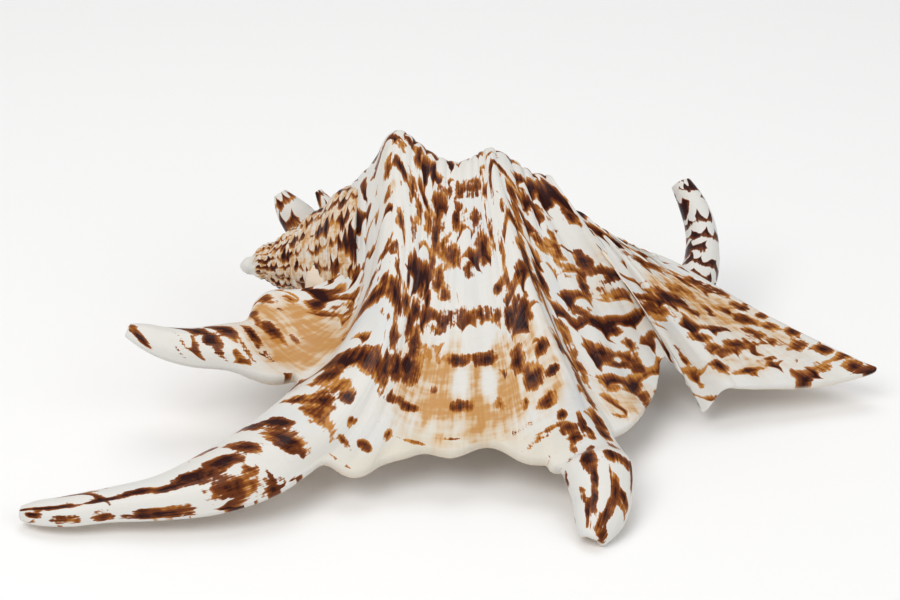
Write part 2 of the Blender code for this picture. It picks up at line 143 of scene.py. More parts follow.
# The back of the lip is a fan of growth columns. Each row is the rib number, the point on the crest, the
# handles of its curve at the crest and at the lip, and the point on the edge of the lip.
COLUMNS = [
    (0.0, (-23.5, 26, 46.5), (2, -23, 0), (20, -8, 1), (-40.4, 9.2, 29.2)),
    (1.2, (-21, 25, 50), (-1.5, -22, 0), (30, -2, 2), (-40.8, 0, 25.6)),
    (2.6, (-17.5, 24, 54.5), (-1, -20, 0), (20, 4, 12), (-33.5, -9.5, 15.5)),
    (3.6, (-14.3, 23, 61), (-2, -15, -1), (27, 8, 13), (-35, -21, 18.5)),
    (4.5, (-11.3, 22, 62.5), (-3.5, -12, -2), (28, 14, 13), (-31, -31, 17.5)),
    (6.2, (-7, 21, 60.5), (-3, -19, 0), (24, 14, 15), (-27, -36, 11)),
    (7.5, (-4, 19.5, 58.7), (0, -19, 0), (12.5, 13, 15), (-18.5, -36.5, 9.0)),
    (8.5, (-1.5, 18.5, 57.7), (0, -19, 0), (8.4, 13, 15), (-11, -33.5, 11.2)),
    (10.0, (2, 18, 57.1), (0, -19, 0), (2, 13, 15), (0, -34, 12)),
    (11.5, (5.5, 18.5, 58.4), (0, -19, 0), (-1, 13, 15), (11, -32.5, 12.7)),
    (13.0, (7.5, 19.5, 59.2), (-0.2, -19, 0), (-6, 14, 14), (20.5, -36, 10.5)),
    (14.5, (9.5, 20, 59), (-0.3, -17, -1), (-11.4, 13, 15), (31.5, -31, 15)),
    (16.0, (14, 20, 57), (1.3, -17, 0), (-14.7, 13, 16), (36.5, -24.5, 10)),
    (17.5, (17.5, 20, 54.2), (2.3, -15, 0), (-13, 12, 16), (42.5, -19, 11.3)),
    (18.3, (20, 19.5, 53), (2.4, -14, 0), (-10.6, 8, 16), (46.5, -9, 10.3)),
    (19.2, (22.3, 19, 53.4), (2, -13, 0), (-7, 8, 16), (49, 0, 15)),
    (20.2, (24, 17.5, 51.2), (3, -11, 0), (-7, 8, 15), (52, -2, 13)),
    (21.0, (25.5, 16, 48.4), (3, -9, 0), (-7, 6, 14), (55.5, -3.5, 9)),
    (21.5, (27, 15, 47.6), (3, -8, 0), (-7, 6, 14), (58.2, -5, 2)),
    (22.2, (29, 14, 46.5), (4, -7, 0), (-8, 6, 12), (61.5, -6, 9)),
    (23.6, (32.5, 12, 44), (6, -5, -1), (-10, 5, 10), (70, -3.5, 9.3)),
    (24.8, (36, 10.5, 42.5), (7, -4, -2), (-12, 4, 8), (79, -2, 9)),
    (26.0, (40, 9, 41), (9, -2, -5), (-14, 3, 5.5), (89, 0.5, 8.8)),
    (27.5, (44, 8.5, 39), (12, 1, -7.5), (-18, 2, 7.2), (100, 4, 9.5)),
    (29.0, (47, 10, 37), (12, 5, -7), (-14, 2, 6), (89, 11, 8.5)),
    (30.5, (49, 13, 34.5), (8, 6, -7), (-9, 1, 6.5), (74, 19, 9)),
    (32.0, (50, 16, 32), (4, 6, -7), (-3, -2, 7), (61, 27, 13)),
]

# Rib number, the point furthest back, and the point where the whorl meets the underside.
BACK = [
    (0.0, (-24, 37, 24), (-21, 15, 6)),
    (4.5, (-12, 40, 27), (-11, 14, 3)),
    (10.0, (2, 41, 28), (2, 14, 2)),
    (19.2, (20, 38, 27), (20, 14, 2)),
    (27.5, (44, 28, 22), (44, 14, 6)),
    (32.0, (52, 27, 19), (52, 16, 9)),
]

# Each finger of the lip: its first and last rib, the way across it, how far its arch wraps round in
# degrees, and stations of the middle of the arch, its half width and its height.
FINGERS = {
    "rear": (
        0.0,
        2.6,
        (0.1, -1, -0.25),
        92,
        [
            ((-34, -1, 20), 11.5, 8.2),
            ((-42.5, -4.6, 20.2), 8.6, 6.6),
            ((-51, -5.2, 20.6), 6.6, 5.6),
            ((-58.6, -6, 21), 5.5, 4.9),
            ((-65, -6.4, 22.7), 4.5, 3.9),
            ((-70.5, -5.8, 24.8), 3.0, 3.0),
            ((-73.2, -5.4, 25.8), 1.6, 1.6),
        ],
    ),
    "long": (
        2.6,
        6.2,
        (-0.4, -1, 0),
        107,
        [
            ((-31, -24, 10), 13, 10.8),
            ((-40.8, -34, 8.2), 11.2, 9.1),
            ((-51, -40.2, 6.8), 9, 7.8),
            ((-62, -43.7, 5.6), 5.8, 5.8),
            ((-72.5, -44.7, 4.7), 4.4, 4.6),
            ((-83, -45.6, 3.8), 4.0, 3.6),
            ((-90.5, -44.6, 3), 2.6, 2.4),
            ((-92.5, -44.2, 2.8), 1.5, 1.5),
        ],
    ),
    "front": (
        13.0,
        16.0,
        (1, 0.25, 0),
        105,
        [
            ((29.7, -27, 13), 9.0, 7),
            ((31.5, -34.2, 10.5), 8.4, 6.6),
            ((32.4, -40, 8), 7.5, 6.0),
            ((32.4, -45, 5.6), 6.5, 5.3),
            ((31.1, -49.6, 3.4), 5.0, 4.0),
            ((29.7, -52.8, 1.3), 2.8, 2.6),
        ],
    ),
}

# Centre and the two half widths (Y, Z) of the solid whorl inside the lip.
CORE = [
    ((-30, 18, 27), 9.5, 10),
    ((-22, 15, 27), 12.5, 13.5),
    ((-12, 14, 27), 19.5, 22.3),
    ((0, 14, 26), 22.5, 24.6),
    ((12, 13.5, 24.5), 20.5, 22.8),
    ((22, 13, 23), 16, 18.6),
    ((33, 13.5, 19.5), 11.5, 13),
    ((44, 15, 17), 8.5, 9),
    ((53, 18, 16.5), 7, 7.5),
    ((60, 23, 17), 5.5, 6),
]

# The siphon finger at the far end, and the two tips that rise from the last whorl behind the spire.
CANAL = [
    ((46, 14, 16), 9, 9),
    ((53.5, 19, 16.5), 7, 7),
    ((57.4, 26, 17.5), 5.4, 5.4),
    ((60.4, 33, 19.5), 4.6, 4.6),
    ((61.7, 40, 21.8), 4.1, 4.1),
    ((61.6, 46.5, 24.8), 3.8, 3.8),
    ((60, 52, 28.2), 3.4, 3.4),
    ((57.5, 56.4, 31.6), 2.6, 2.4),
]
BEHIND = [
    ((-20, 25, 18), 8, 8),
    ((-25, 34, 18), 7.2, 7.2),
    ((-30.5, 39, 21.5), 6, 6),
    ((-35.2, 41.6, 27), 4.8, 4.8),
    ((-39.4, 43.8, 31.8), 3.4, 3.4),
    ((-41.4, 45.6, 34.4), 1.8, 1.8),
]
SECOND_TIP = [
    ((-22, 33, 27), 5.5, 5.5),
    ((-26.5, 36.5, 31.5), 3.4, 3.4),
    ((-30, 39.5, 35), 1.9, 1.9),
    ((-31.8, 41.5, 37.2), 0.9, 0.9),
]

# Height of the ribs in millimetres, by rib number.
RIB_RELIEF = [
    (0, 0.25), (3, 0.2), (6, 0.3), (10, 0.35), (13, 0.3),
    (16, 0.5), (19, 0.8), (24, 0.75), (28, 0.6), (32, 0.4),
]

# How far the free edge of the lip juts out in small points, in millimetres, by rib number.
SCALLOPS = [
    (6.4, 0), (7.4, 1.7), (7.9, -0.6), (8.5, 1.2), (9.2, -0.8),
    (10, 1.2), (11, -0.8), (11.9, 1.2), (12.7, 0),
]

# Linear colours: the ground and its washes, a mark from its rim to its heart, and the lining.
WHITE = (0.72, 0.705, 0.665)
BLUISH = (0.60, 0.64, 0.68)
CREAM = (0.68, 0.635, 0.545)
GOLD = (0.62, 0.38, 0.15)
AMBER = (0.50, 0.22, 0.05)
TAWNY = (0.30, 0.095, 0.018)
BROWN = (0.13, 0.032, 0.008)
DARK = (0.026, 0.005, 0.004)
LINING = (0.80, 0.68, 0.55)

# The marks that make up the rows: their size, the arch of their lower edges and how far they wander, in rows.
MARK_SIZE = 0.31
ARCH_HEIGHT = 0.45
ROW_WARP = 0.75

# The marks are darker on the fingers of the lip and on the siphon finger by this much depth.
FINGER_DEPTH = 0.05
SIPHON_DEPTH = 0.12

# How strongly the spire is washed with gold.
SPIRE_WASH = 0.65

# The cream tint of the lip: the millimetres from the edge over which it fades, its middle rib and half width,
# and how much it shrinks the marks.
CREAM_EDGE = (3, 9)
CREAM_RIB = 10
CREAM_HALF_WIDTH = 4.5
CREAM_QUIET = 0.35

# How square the listed marks are, where 2 is an ellipse, and how much larger than their half widths.
MARK_SQUARENESS = 2.4
MARK_SWELL = 1.12

# How deep a mark is at its middle, for each of its tones.
FAINT = 0.05
LIGHT = 0.11
STRONG = 0.21
DEEP = 0.42

# The marks that stand out: rib, row, the half width in ribs, the half height in rows, and the tone.
MARKS = [
    # the left knob and the ridge below it
    (4.7, 2.3, 0.5, 0.35, STRONG), (5.5, 1.5, 0.5, 0.25, DEEP), (6.4, 1.7, 0.35, 0.6, DEEP),
    (7.2, 1.95, 0.7, 0.15, LIGHT), (4.9, 3.4, 0.9, 0.3, DEEP), (3.8, 3.35, 0.35, 0.4, STRONG),
    (6.0, 3.25, 0.4, 0.55, STRONG), (6.7, 3.7, 0.3, 0.5, STRONG), (3.9, 4.35, 0.35, 0.25, FAINT),
    (4.8, 5.4, 0.4, 0.35, DEEP), (5.3, 5.7, 0.2, 0.3, LIGHT), (6.3, 4.5, 0.3, 0.5, LIGHT),
    (7.6, 3.8, 0.4, 0.6, STRONG), (8.2, 4.25, 0.35, 0.6, DEEP), (8.8, 4.65, 0.35, 0.6, STRONG),
    (9.5, 4.75, 0.5, 0.45, DEEP), (3.85, 6.35, 0.28, 0.28, STRONG), (4.45, 6.45, 0.28, 0.28, STRONG),
    (6.2, 5.75, 0.2, 0.25, LIGHT), (8.1, 5.2, 0.3, 0.4, STRONG), (8.6, 5.6, 0.35, 0.5, DEEP),
    (9.1, 6.0, 0.5, 0.3, STRONG), (7.5, 5.95, 0.32, 0.5, DEEP), (8.1, 6.45, 0.2, 0.4, DEEP),
    (3.4, 6.9, 0.35, 0.3, STRONG), (4.1, 7.45, 0.25, 0.25, DEEP), (4.75, 7.1, 0.22, 0.35, STRONG),
    (5.4, 7.2, 0.2, 0.25, STRONG), (6.2, 6.35, 0.22, 0.45, DEEP), (3.7, 7.8, 0.9, 0.35, DEEP),
    (5.0, 7.75, 0.9, 0.4, DEEP), (6.3, 7.1, 0.5, 0.4, DEEP), (7.1, 7.5, 0.4, 0.5, DEEP),
    (7.7, 7.95, 0.35, 0.6, DEEP), (8.2, 8.5, 0.22, 0.6, STRONG), (5.9, 8.45, 0.5, 0.3, DEEP),
    (5.4, 7.6, 0.6, 0.35, DEEP), (7.3, 7.0, 0.45, 0.45, DEEP), (4.8, 8.5, 0.4, 0.12, FAINT),
    # the dark band over the root of the long finger
    (3.9, 9.85, 0.5, 0.35, DEEP), (4.6, 9.9, 0.6, 0.38, DEEP), (5.4, 9.7, 0.6, 0.4, DEEP),
    (6.1, 9.4, 0.6, 0.45, DEEP), (6.9, 9.05, 0.6, 0.45, DEEP), (7.6, 8.85, 0.5, 0.5, DEEP),
    (8.1, 8.6, 0.35, 0.6, STRONG), (6.2, 9.75, 0.6, 0.2, STRONG), (3.9, 10.5, 0.3, 0.35, DEEP),
    (4.3, 10.9, 0.35, 0.3, STRONG), (4.8, 11.1, 0.35, 0.25, DEEP), (7.4, 9.95, 0.6, 0.18, STRONG),
    (8.2, 9.95, 0.5, 0.15, DEEP), (6.5, 10.1, 0.35, 0.15, LIGHT), (5.75, 11.5, 0.28, 0.22, STRONG),
    (6.2, 12.1, 0.5, 0.12, STRONG), (7.0, 11.75, 0.4, 0.15, DEEP), (7.7, 11.1, 0.18, 0.22, STRONG),
    (6.6, 12.7, 0.4, 0.08, LIGHT),
    # the columns between the knobs
    (9.0, 2.4, 0.9, 0.32, LIGHT), (10.3, 2.3, 0.8, 0.35, STRONG), (11.5, 2.4, 0.6, 0.4, STRONG),
    (8.3, 3.6, 0.45, 0.4, STRONG), (9.75, 3.5, 0.35, 0.38, DEEP), (10.4, 3.4, 0.25, 0.35, FAINT),
    (11.3, 3.6, 0.4, 0.42, STRONG), (9.8, 4.8, 0.35, 0.4, STRONG), (10.6, 5.2, 0.3, 0.35, STRONG),
    (11.6, 4.7, 0.6, 0.6, DEEP), (12.6, 4.5, 0.35, 0.6, STRONG), (14.4, 4.55, 0.4, 0.22, LIGHT),
    (15.4, 3.3, 0.3, 0.45, DEEP), (14.7, 5.9, 0.35, 0.28, STRONG), (14.2, 6.9, 0.7, 0.2, DEEP),
    (13.3, 6.35, 0.22, 0.5, STRONG), (12.6, 6.25, 0.55, 0.22, DEEP), (13.7, 7.4, 0.15, 0.2, LIGHT),
    (9.3, 6.95, 0.5, 0.35, STRONG), (10.2, 6.75, 0.6, 0.28, LIGHT), (11.1, 6.85, 0.6, 0.28, STRONG),
    (12.1, 7.1, 0.6, 0.28, STRONG), (13.1, 7.45, 0.6, 0.35, DEEP), (13.9, 7.9, 0.35, 0.4, STRONG),
    (8.7, 7.25, 0.6, 0.18, LIGHT), (8.7, 8.1, 0.5, 0.3, LIGHT), (10.1, 8.25, 0.5, 0.22, DEEP),
    (11.2, 8.3, 0.55, 0.24, DEEP), (9.4, 8.2, 0.3, 0.2, LIGHT), (12.9, 8.8, 0.45, 0.45, DEEP),
    (13.4, 9.6, 0.4, 0.4, DEEP), (10.3, 9.75, 0.42, 0.2, DEEP), (11.6, 9.85, 0.22, 0.25, STRONG),
    (12.8, 10.2, 0.2, 0.2, LIGHT), (13.6, 10.5, 0.35, 0.22, DEEP), (13.4, 11.4, 0.7, 0.09, STRONG),
    # thin strokes along the lip
    (8.6, 11.0, 0.6, 0.07, LIGHT), (10.0, 10.8, 0.6, 0.06, FAINT), (12.3, 10.9, 0.9, 0.08, LIGHT),
    (9.2, 11.6, 0.5, 0.07, FAINT), (10.6, 11.7, 0.4, 0.06, FAINT), (11.6, 11.6, 0.4, 0.06, LIGHT),
    (12.7, 11.6, 0.5, 0.07, LIGHT), (9.0, 12.2, 0.3, 0.07, FAINT), (13.2, 12.2, 0.4, 0.06, FAINT),
    # arches that hang over the face of the right knob
    (12.55, 2.6, 0.16, 0.75, STRONG), (12.35, 3.6, 0.16, 0.6, STRONG), (14.0, 1.9, 0.7, 0.16, STRONG),
    (14.7, 2.75, 1.0, 0.18, DEEP), (16.2, 2.8, 0.35, 0.55, STRONG), (13.4, 5.5, 0.22, 0.6, STRONG),
    (15.1, 5.8, 0.2, 0.7, DEEP), (13.6, 3.3, 0.22, 0.6, STRONG), (15.4, 4.4, 0.2, 0.7, STRONG),
    # right of the right knob
    (14.9, 6.5, 0.25, 0.9, DEEP), (15.8, 5.9, 0.35, 0.55, DEEP), (16.5, 4.2, 0.7, 0.35, STRONG),
    (17.4, 4.3, 0.28, 0.85, STRONG), (17.8, 2.2, 0.6, 0.3, DEEP), (17.1, 2.9, 0.6, 0.3, LIGHT),
    (18.9, 2.7, 0.4, 0.4, DEEP), (18.4, 4.5, 0.28, 0.5, DEEP), (17.9, 5.4, 0.2, 0.5, DEEP),
    (19.0, 5.15, 0.3, 0.25, DEEP), (18.5, 5.7, 0.2, 0.4, STRONG), (17.3, 6.4, 0.4, 0.3, STRONG),
    (17.7, 6.8, 0.35, 0.22, DEEP), (18.1, 7.05, 0.35, 0.22, DEEP), (16.2, 7.5, 0.35, 0.6, STRONG),
    (17.4, 8.05, 0.35, 0.35, DEEP), (17.8, 8.35, 0.4, 0.14, DEEP), (16.2, 8.8, 0.25, 0.6, STRONG),
    (18.4, 7.7, 0.18, 0.35, STRONG), (18.3, 8.5, 0.22, 0.35, DEEP), (17.8, 9.2, 0.35, 0.28, DEEP),
    (17.1, 9.2, 0.3, 0.3, LIGHT), (16.7, 10.4, 0.3, 0.1, STRONG), (18.0, 9.6, 0.15, 0.5, STRONG),
    (15.35, 8.0, 0.12, 1.4, DEEP), (15.5, 9.9, 0.25, 0.8, DEEP), (14.0, 9.05, 0.35, 0.2, DEEP),
    (14.1, 9.8, 0.25, 0.15, DEEP), (15.3, 11.2, 0.3, 0.4, DEEP), (13.9, 11.6, 0.3, 0.2, DEEP),
    # the front finger, with a white rib between two dark lines
    (13.9, 11.1, 0.2, 0.15, DEEP), (14.15, 13.45, 0.2, 0.45, DEEP), (13.6, 13.1, 0.13, 0.28, LIGHT),
    (13.25, 13.9, 0.18, 0.3, LIGHT), (14.22, 14.1, 0.1, 0.5, DEEP), (14.2, 14.7, 0.11, 0.45, DEEP),
    (14.0, 15.2, 0.11, 0.35, DEEP), (14.66, 13.95, 0.07, 0.4, STRONG), (14.78, 14.4, 0.13, 0.5, DEEP),
    (14.66, 14.9, 0.11, 0.4, DEEP), (14.5, 15.3, 0.14, 0.3, DEEP), (14.72, 13.35, 0.2, 0.28, DEEP),
    (15.15, 13.3, 0.2, 0.18, STRONG), (15.35, 13.5, 0.08, 0.5, DEEP), (15.15, 14.25, 0.28, 0.12, DEEP),
    (15.1, 14.45, 0.35, 0.07, LIGHT), (13.8, 14.7, 0.1, 0.3, STRONG), (14.9, 15.4, 0.5, 0.2, STRONG),
    (14.45, 11.6, 0.14, 0.45, DEEP), (14.0, 12.0, 0.22, 0.22, DEEP), (14.58, 12.05, 0.13, 0.3, DEEP),
    (15.25, 11.85, 0.3, 0.25, DEEP), (13.82, 12.6, 0.12, 0.35, LIGHT), (14.3, 12.8, 0.13, 0.25, STRONG),
    (15.15, 12.5, 0.22, 0.2, STRONG),
    # the broad finger
    (24.5, 2.7, 1.6, 0.35, STRONG), (21.6, 5.2, 1.2, 0.5, STRONG), (23.2, 4.6, 1.0, 0.45, DEEP),
    (24.6, 4.0, 0.9, 0.35, STRONG), (26.4, 3.2, 1.0, 0.45, STRONG), (27.3, 3.8, 0.6, 0.6, LIGHT),
    (24.6, 5.25, 0.9, 0.1, LIGHT), (27.0, 4.9, 0.4, 0.35, STRONG), (26.3, 5.6, 0.4, 0.4, DEEP),
    (25.8, 6.4, 0.4, 0.4, STRONG), (27.2, 5.7, 0.3, 0.2, DEEP), (26.8, 6.3, 0.32, 0.3, DEEP),
    (26.2, 7.0, 0.4, 0.25, LIGHT), (27.3, 6.9, 0.35, 0.28, DEEP), (26.6, 7.5, 0.4, 0.35, STRONG),
    (27.1, 8.2, 0.32, 0.3, DEEP), (26.3, 8.8, 0.35, 0.3, STRONG), (27.5, 8.9, 0.3, 0.25, DEEP),
    (27.0, 9.4, 0.35, 0.28, DEEP), (23.1, 6.4, 0.6, 0.22, DEEP), (23.7, 7.0, 0.8, 0.28, STRONG),
    (24.5, 6.8, 0.5, 0.28, DEEP), (25.2, 6.8, 0.5, 0.25, LIGHT), (22.9, 7.7, 0.35, 0.3, DEEP),
    (23.9, 8.0, 0.7, 0.13, DEEP), (25.0, 7.7, 0.5, 0.12, LIGHT), (21.4, 6.8, 0.1, 1.2, STRONG),
    (21.9, 7.6, 0.1, 0.9, STRONG),
    # the long finger
    (3.8, 11.7, 0.25, 0.25, DEEP), (4.25, 11.5, 0.3, 0.3, DEEP), (4.45, 11.95, 0.35, 0.35, DEEP),
    (4.7, 12.3, 0.45, 0.22, STRONG), (4.15, 12.9, 0.28, 0.28, DEEP), (3.8, 13.3, 0.25, 0.25, DEEP),
    (4.7, 13.55, 0.5, 0.45, DEEP), (5.2, 13.4, 0.4, 0.25, STRONG), (5.4, 12.25, 0.35, 0.25, LIGHT),
    (4.55, 14.7, 0.3, 0.4, DEEP), (4.75, 15.7, 0.2, 0.6, DEEP), (4.85, 16.6, 0.25, 0.5, DEEP),
    (4.95, 17.3, 0.14, 0.5, DEEP), (4.85, 18.0, 0.14, 0.6, DEEP), (4.95, 19.0, 0.1, 0.9, DEEP),
    (4.95, 20.5, 0.12, 1.1, DEEP), (5.5, 15.8, 0.42, 0.75, STRONG), (5.9, 15.0, 0.28, 0.35, STRONG),
    (5.85, 17.75, 0.28, 0.8, DEEP), (5.7, 20.2, 0.25, 0.35, STRONG), (5.75, 19.2, 0.3, 0.3, STRONG),
    (5.4, 21.0, 0.25, 0.3, DEEP), (4.15, 18.9, 0.15, 0.7, LIGHT), (4.0, 15.3, 0.15, 0.4, STRONG),
    # the rear finger, the ledge above it and the flank beside it
    (1.9, 13.7, 0.5, 0.22, DEEP), (1.2, 13.6, 0.4, 0.15, STRONG), (1.1, 11.5, 0.3, 0.35, DEEP),
    (1.5, 11.35, 0.28, 0.28, DEEP), (1.9, 11.4, 0.3, 0.12, STRONG), (1.2, 10.75, 0.35, 0.3, DEEP),
    (1.8, 10.5, 0.35, 0.1, STRONG), (1.35, 9.9, 0.4, 0.22, DEEP), (1.9, 9.85, 0.35, 0.08, LIGHT),
    (1.4, 9.0, 0.35, 0.3, DEEP), (1.7, 8.5, 0.22, 0.15, STRONG), (1.5, 12.3, 0.5, 0.07, LIGHT),
    (1.9, 12.6, 0.4, 0.06, LIGHT), (0.3, 7.9, 0.25, 0.35, STRONG), (0.5, 7.1, 0.22, 0.25, STRONG),
    (0.85, 6.6, 0.25, 0.35, DEEP), (1.9, 6.1, 0.6, 0.8, LIGHT),
]

# Where the row marks shrink, and where the ground is washed with gold or, below zero, stays white: rib, row,
# the half width in ribs, the half height in rows, and how strongly.
SPREAD = [
    (4.9, 5.0, 2.2, 4.0, -0.35), (5.0, 16.5, 3.0, 7.5, -0.42), (1.1, 10.8, 1.9, 4.5, -0.35),
    (10.4, 11.0, 5.5, 2.2, -0.55), (10.6, 6.0, 2.6, 0.6, -0.30), (10.8, 8.0, 3.6, 1.0, -0.30),
    (14.8, 14.0, 2.2, 2.2, -0.75), (17.2, 7.5, 1.7, 2.8, -0.10), (25.5, 6.4, 4.4, 4.4, -0.22),
    (11.2, 3.4, 3.0, 3.6, -0.17), (14.2, 2.6, 1.7, 2.2, -0.25), (10.9, 7.7, 0.8, 0.6, -0.5),
    (18.2, 4.0, 2.4, 3.6, -0.09),
]
GOLD_WASH = [
    (10.8, 8.9, 3.8, 1.4, 1.0), (10.9, 10.3, 3.8, 1.0, 0.55), (10.9, 7.7, 0.6, 0.7, -0.9),
    (10.2, 9.0, 0.4, 0.7, -1.0), (11.3, 9.15, 0.4, 0.7, -1.0), (12.9, 9.4, 0.4, 0.6, -0.7),
    (9.2, 7.9, 0.4, 0.5, -0.4), (1.5, 8.5, 1.5, 2.0, 1.0), (2.5, 7.9, 1.0, 0.9, 0.3),
    (4.0, 4.4, 0.5, 0.35, 0.6), (24.6, 4.4, 2.2, 1.5, 0.7), (25.8, 6.0, 2.6, 2.6, 0.4),
    (23.4, 7.7, 2.0, 0.5, 0.4), (17.3, 9.8, 1.4, 1.1, 0.6), (19.4, 5.5, 1.5, 2.0, 0.4),
]


def spline(keys, values, at):
    """A smooth curve through the values at the keys, read at each place in at."""
    keys = np.asarray(keys, float)
    values = np.asarray(values, float)
    if values.ndim == 1:
        values = values[:, None]
    at = np.clip(np.asarray(at, float), keys[0], keys[-1])
    step = np.diff(keys)[:, None]
    slope = np.diff(values, axis=0) / step
    tangent = np.empty_like(values)
    tangent[1:-1] = (slope[:-1] * step[1:] + slope[1:] * step[:-1]) / (step[1:] + step[:-1])
    tangent[0] = slope[0]
    tangent[-1] = slope[-1]
    i = np.clip(np.searchsorted(keys, at, side="right") - 1, 0, len(keys) - 2)
    h = step[i]
    x = ((at - keys[i]) / step[i, 0])[:, None]
    return (
        values[i] * (1 + 2 * x) * (1 - x) ** 2
        + values[i + 1] * x * x * (3 - 2 * x)
        + tangent[i] * h * x * (1 - x) ** 2
        + tangent[i + 1] * h * x * x * (x - 1)
    )


def by_rib(table, ribs):
    """The second value of the table's rows as a smooth curve over the first, read at each of the ribs."""
    return spline([row[0] for row in table], [row[1] for row in table], ribs)[:, 0]


def bezier(a, b, c, d, t):
    s = 1 - t
    return s**3 * a + 3 * s * s * t * b + 3 * s * t * t * c + t**3 * d


def smooth(x, low, high):
    x = np.clip((np.asarray(x, float) - low) / (high - low), 0, 1)
    return x * x * (3 - 2 * x)


def palm_row(ribs, t):
    """The points of every rib at growth t: -1 is the underside, 0 the crest and 1 the edge of the lip."""
    keys = [column[0] for column in COLUMNS]
    crest, crest_way, lip_way, lip = (spline(keys, [c[k] for c in COLUMNS], ribs) for k in (1, 2, 3, 4))
    if t >= 0:
        return bezier(crest, crest + crest_way, lip + lip_way, lip, t)
    keys = [row[0] for row in BACK]
    back = spline(keys, [row[1] for row in BACK], ribs)
    under = spline(keys, [row[2] for row in BACK], ribs)
    if t > -0.5:
        behind = crest.copy()
        behind[:, 1] += 0.45 * (back[:, 1] - crest[:, 1])
        behind[:, 2] -= 0.28 * (back[:, 1] - crest[:, 1])
        above = back.copy()
        above[:, 2] += 0.5 * (crest[:, 2] - back[:, 2])
        return bezier(crest, behind, above, back, -2 * t)
    below = back.copy()
    below[:, 2] -= 0.55 * (back[:, 2] - under[:, 2])
    behind = under.copy()
    behind[:, 1] += 0.55 * (back[:, 1] - under[:, 1])
    return bezier(back, below, behind, under, -2 * t - 1)


def palm_thickness(ribs, t):
    """The wall is thickest where the lip leaves the whorl, which leaves the opening a slit."""
    edge = BROAD_TIP_TAPER * (BROAD_TIP_X - palm_row(ribs, t)[:, 0]) + BROAD_TIP_THICKNESS
    edge = np.minimum(edge, by_rib(WALL_LIMIT, ribs))
    if t < 0:
        return np.minimum(edge, BACK_THICKNESS)
    root = smooth(t, 0.2, 0.6) * (1 - smooth(t, 0.72, 1.0))
    wide = smooth(ribs, 1.5, 5) * (1 - smooth(ribs, 15.5, 19))
    wall = LIP_THICKNESS + (BACK_THICKNESS - LIP_THICKNESS) * (1 - t)
    return np.minimum(edge, wall) + (LIP_ROOT_THICKNESS - LIP_THICKNESS) * root * wide


def finger_rows(name, ribs, steps):
    """Rows of points from the lip to the tip of a finger, with its half width and its length at each row."""
    first, last, across, wrap, stations = FINGERS[name]
    centre = np.array([station[0] for station in stations], float)
    length = np.concatenate([[0], np.cumsum(np.linalg.norm(np.diff(centre, axis=0), axis=1))])
    at = np.linspace(0, length[-1], steps + 1)
    centre = spline(length, centre, at)
    width = spline(length, [station[1] for station in stations], at)[:, 0]
    height = spline(length, [station[2] for station in stations], at)[:, 0]
    along = np.gradient(centre, axis=0)
    along /= np.linalg.norm(along, axis=1)[:, None]
    across = np.array(across, float)
    side = across - along * (along @ across)[:, None]
    side /= np.linalg.norm(side, axis=1)[:, None]
    up = np.cross(along, side)
    lip = palm_row(ribs, 1.0)
    angle = np.radians(wrap) * ((ribs - first) / (last - first) * 2 - 1)
    rows = []
    for i in range(1, steps + 1):
        mix = smooth(at[i] / length[-1], 0, 0.38)
        arch = centre[i] + side[i] * (width[i] * np.sin(angle))[:, None]
        arch = arch + up[i] * (height[i] * np.cos(angle))[:, None]
        rows.append((lip + centre[i] - centre[0]) * (1 - mix) + arch * mix)
    return rows, width[1:], at[1:]


def quads(index):
    """Faces of a grid of vertex numbers, facing up where rows run to -Y and columns to +X."""
    a, b, c, d = index[:-1, :-1], index[1:, :-1], index[1:, 1:], index[:-1, 1:]
    return np.stack([a, b, c, d], axis=-1).reshape(-1, 4)


def scatter(total, index, values):
    """Adds each row of values to the row of total that index names."""
    for k in range(total.shape[1]):
        total[:, k] += np.bincount(index, weights=values[:, k], minlength=len(total))


def normals(points, faces):
    across = points[faces[:, 2]] - points[faces[:, 0]]
    along = points[faces[:, 3]] - points[faces[:, 1]]
    facing = np.cross(across, along)
    total = np.zeros_like(points)
    for k in range(4):
        scatter(total, faces[:, k], facing)
    return total / np.maximum(np.linalg.norm(total, axis=1), 1e-9)[:, None]


def relaxed(values, ends):
    """Each value moved towards the mean of its neighbours."""
    total = values.copy()
    share = np.ones(len(values))
    for a, b in ((0, 1), (1, 0)):
        scatter(total, ends[:, a], values[ends[:, b]])
        share += np.bincount(ends[:, a], minlength=len(values))
    return total / share[:, None]


def arch(rib):
    """One over the middle of a rib and zero in the groove beside it."""
    return 1 - (2 * (rib - np.floor(rib)) - 1) ** 2


def rib_relief(rib, row):
    """Height of the ribs, in millimetres, with finer cords on them."""
    height = by_rib(RIB_RELIEF, rib)
    wander = rib + 0.12 * np.sin(0.9 * row + 2.1 * rib)
    cords = 0.12 * np.sin(2 * math.pi * 3 * wander) * smooth(row, 0, 4)
    return height * (arch(wander) - 0.6) + height * cords


def rib_numbers():
    """The ribs at which the skin has columns of points, with one at each side of every finger."""
    first_rib, last_rib = COLUMNS[0][0], COLUMNS[-1][0]
    finger_ends = {rib for finger in FINGERS.values() for rib in finger[:2]}
    breaks = sorted(finger_ends | {first_rib, last_rib})
    ribs = [first_rib]
    for low, high in zip(breaks, breaks[1:]):
        ribs += list(np.linspace(low, high, round((high - low) * PER_RIB) + 1)[1:])
    return np.array(ribs)


